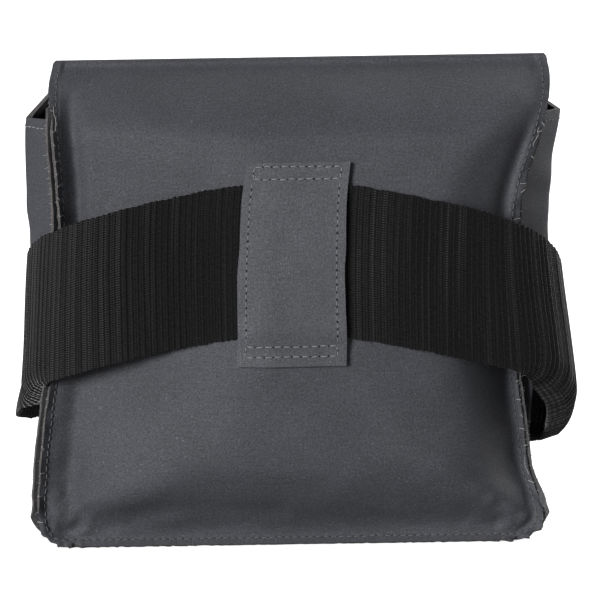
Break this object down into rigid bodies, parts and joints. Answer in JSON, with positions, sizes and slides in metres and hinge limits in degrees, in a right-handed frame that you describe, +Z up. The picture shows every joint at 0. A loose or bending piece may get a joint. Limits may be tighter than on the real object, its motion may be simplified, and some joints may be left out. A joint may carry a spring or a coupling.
{
  "type": "saddle bag",
  "caption": "Sewn pouch with side gussets and a fold-over flap, held shut by a wide elastic band that runs through a sewn loop on its back.",
  "frame": {"origin": "middle of the flat underside of the bottom gusset, on the surface that the bag stands on", "axes": "+Z up, the back with the belt loop faces -Y, the flap hangs on the +Y side, X runs across the bag's width"},
  "size_m": [0.1914, 0.0787, 0.163],
  "materials": {
    "coated_cloth": "matt coated canvas, dark slate grey",
    "loop_cloth": "matt coated canvas, mid grey",
    "elastic": "ribbed woven elastic, black",
    "thread": "spun polyester thread, grey"
  },
  "bodies": {
    "pouch": {"back_panel": "coated_cloth", "front_panel": "coated_cloth", "gusset_left": "coated_cloth", "gusset_right": "coated_cloth", "gusset_bottom": "coated_cloth", "belt_loop_outer": "loop_cloth", "belt_loop_lining": "loop_cloth", "elastic_band_back": "elastic", "back_seam_thread": "thread", "front_seam_thread": "thread", "front_hem_thread": "thread", "gusset_left_hem_thread": "thread", "gusset_right_hem_thread": "thread", "belt_loop_top_thread": "thread", "belt_loop_bottom_thread": "thread", "belt_loop_side_thread": "thread", "band_join_thread": "thread"},
    "flap": {"flap": "coated_cloth", "flap_edge_thread": "thread"},
    "band": {"elastic_band_front": "elastic"}
  },
  "joints": [
    {"name": "flap_fold", "type": "hinge", "parent": "pouch", "child": "flap", "pos_m": [0, 0, 0.163], "axis": [1, 0, 0], "range_deg": [0, 175], "deforming": ["elastic_band_front"]},
    {"name": "band_lift", "type": "hinge", "parent": "pouch", "child": "band", "pos_m": [0, -0.036, 0.0865], "axis": [1, 0, 0], "range_deg": [0, 35]}
  ]
}
